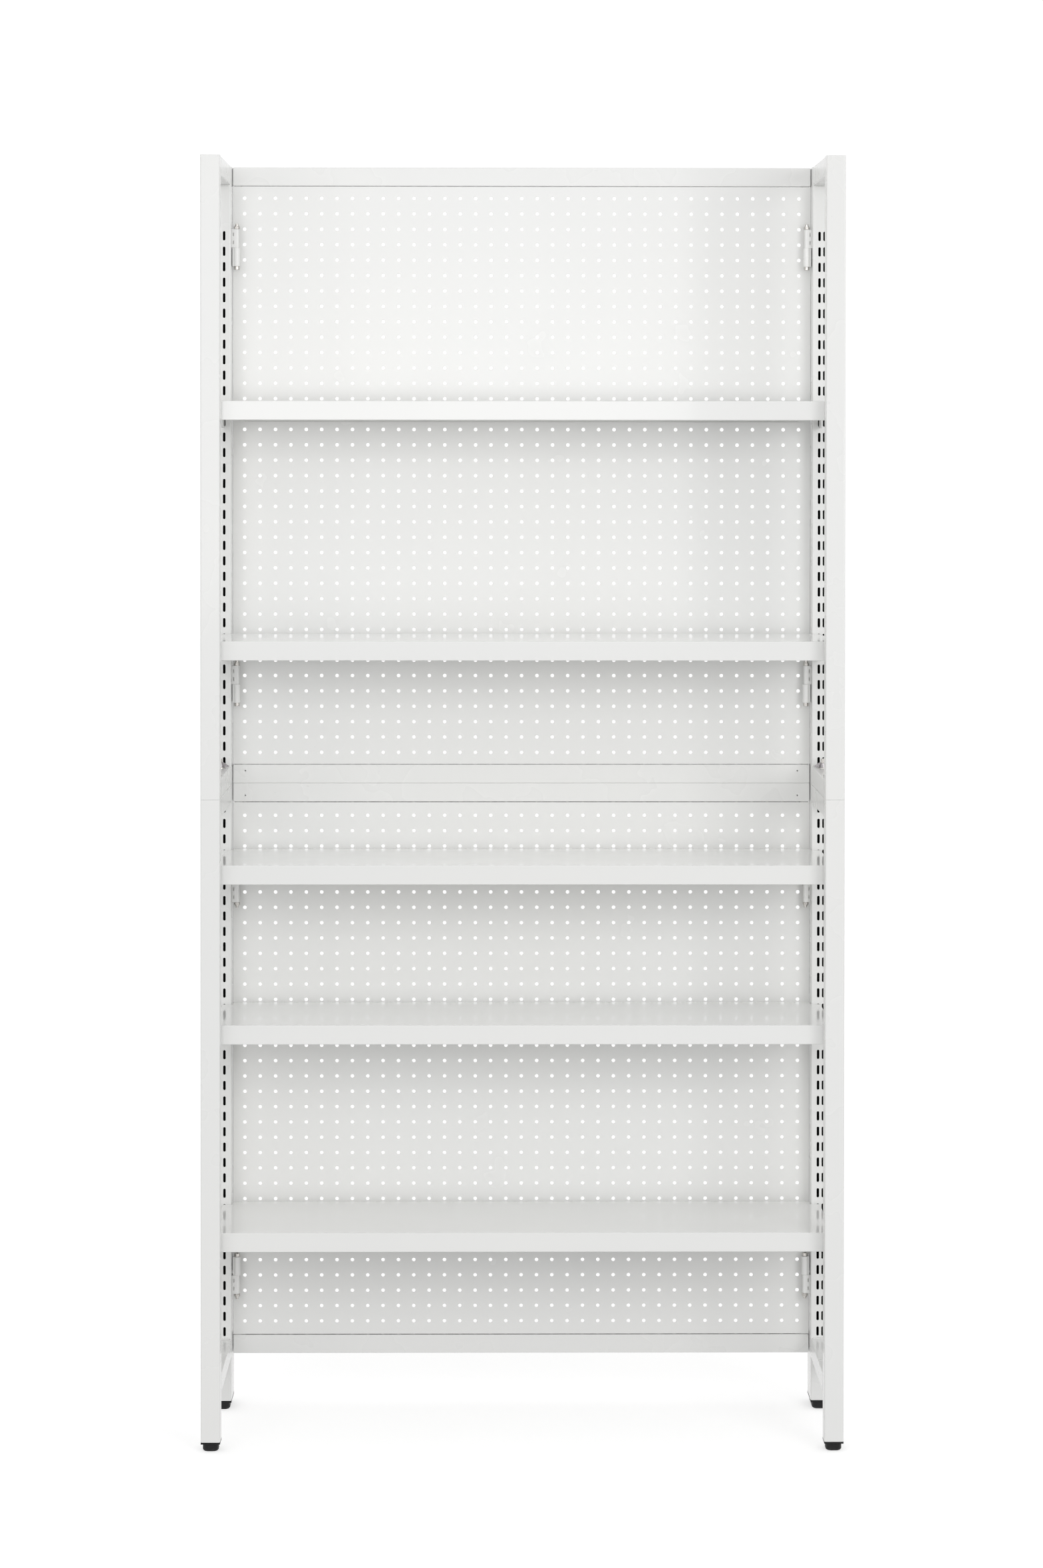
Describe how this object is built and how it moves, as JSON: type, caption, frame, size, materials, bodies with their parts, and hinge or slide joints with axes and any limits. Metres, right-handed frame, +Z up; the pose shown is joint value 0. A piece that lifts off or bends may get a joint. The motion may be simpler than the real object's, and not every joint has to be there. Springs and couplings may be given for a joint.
{
  "type": "gondola shelving unit",
  "caption": "Tall steel shop shelving of two stacked folding modules: perforated back, slotted posts, tray shelves and black feet.",
  "frame": {"origin": "on the floor, at the centre of the footprint", "axes": "+X across the width, -Y out of the front to the shopper, +Z up"},
  "size_m": [1, 0.3, 2.015],
  "materials": {
    "white_paint": "semi-gloss powder coat",
    "black_plastic": "moulded, satin",
    "plated_steel": "bright zinc plate"
  },
  "bodies": {
    "frame": {"front_feet": "black_plastic", "lower_back_bottom_rail": "white_paint", "lower_back_stiles": "white_paint", "lower_back_top_rail": "white_paint", "lower_frame_knuckles": "white_paint", "lower_hinge_bolts": "plated_steel", "lower_hinge_nuts": "plated_steel", "lower_left_bottom_rail": "white_paint", "lower_left_front_post": "white_paint", "lower_left_rear_post": "white_paint", "lower_left_top_rail": "white_paint", "lower_peg_panel_main": "white_paint", "lower_peg_panel_top": "white_paint", "lower_post_leaves": "white_paint", "lower_right_bottom_rail": "white_paint", "lower_right_front_post": "white_paint", "lower_right_rear_post": "white_paint", "lower_right_top_rail": "white_paint", "rear_feet": "black_plastic", "shelf_1_brackets": "white_paint", "shelf_2_brackets": "white_paint", "shelf_3_brackets": "white_paint", "shelf_4_brackets": "white_paint", "shelf_5_brackets": "white_paint", "stacking_bolts": "plated_steel", "stacking_washers": "plated_steel", "stacking_wing_nuts": "plated_steel", "top_caps": "white_paint", "upper_back_bottom_rail": "white_paint", "upper_back_stiles": "white_paint", "upper_back_top_rail": "white_paint", "upper_frame_knuckles": "white_paint", "upper_hinge_bolts": "plated_steel", "upper_hinge_nuts": "plated_steel", "upper_left_bottom_rail": "white_paint", "upper_left_front_post": "white_paint", "upper_left_rear_post": "white_paint", "upper_left_top_rail": "white_paint", "upper_peg_panel_main": "white_paint", "upper_peg_panel_top": "white_paint", "upper_post_leaves": "white_paint", "upper_right_bottom_rail": "white_paint", "upper_right_front_post": "white_paint", "upper_right_rear_post": "white_paint", "upper_right_top_rail": "white_paint"},
    "shelf_1": {"shelf_1_tray": "white_paint", "shelf_1_stiffener": "white_paint"},
    "shelf_2": {"shelf_2_tray": "white_paint", "shelf_2_stiffener": "white_paint"},
    "shelf_3": {"shelf_3_tray": "white_paint", "shelf_3_stiffener": "white_paint"},
    "shelf_4": {"shelf_4_tray": "white_paint", "shelf_4_stiffener": "white_paint"},
    "shelf_5": {"shelf_5_tray": "white_paint", "shelf_5_stiffener": "white_paint"}
  },
  "joints": [
    {"name": "shelf_1_lift", "type": "slide", "parent": "frame", "child": "shelf_1", "axis": [0, 0, 1], "range_m": [0, 0.2]},
    {"name": "shelf_2_lift", "type": "slide", "parent": "frame", "child": "shelf_2", "axis": [0, 0, 1], "range_m": [0, 0.3]},
    {"name": "shelf_3_lift", "type": "slide", "parent": "frame", "child": "shelf_3", "axis": [0, 0, 1], "range_m": [0, 0.07]},
    {"name": "shelf_4_lift", "type": "slide", "parent": "frame", "child": "shelf_4", "axis": [0, 0, 1], "range_m": [0, 0.15]},
    {"name": "shelf_5_lift", "type": "slide", "parent": "frame", "child": "shelf_5", "axis": [0, 0, 1], "range_m": [0, 0.25]}
  ]
}
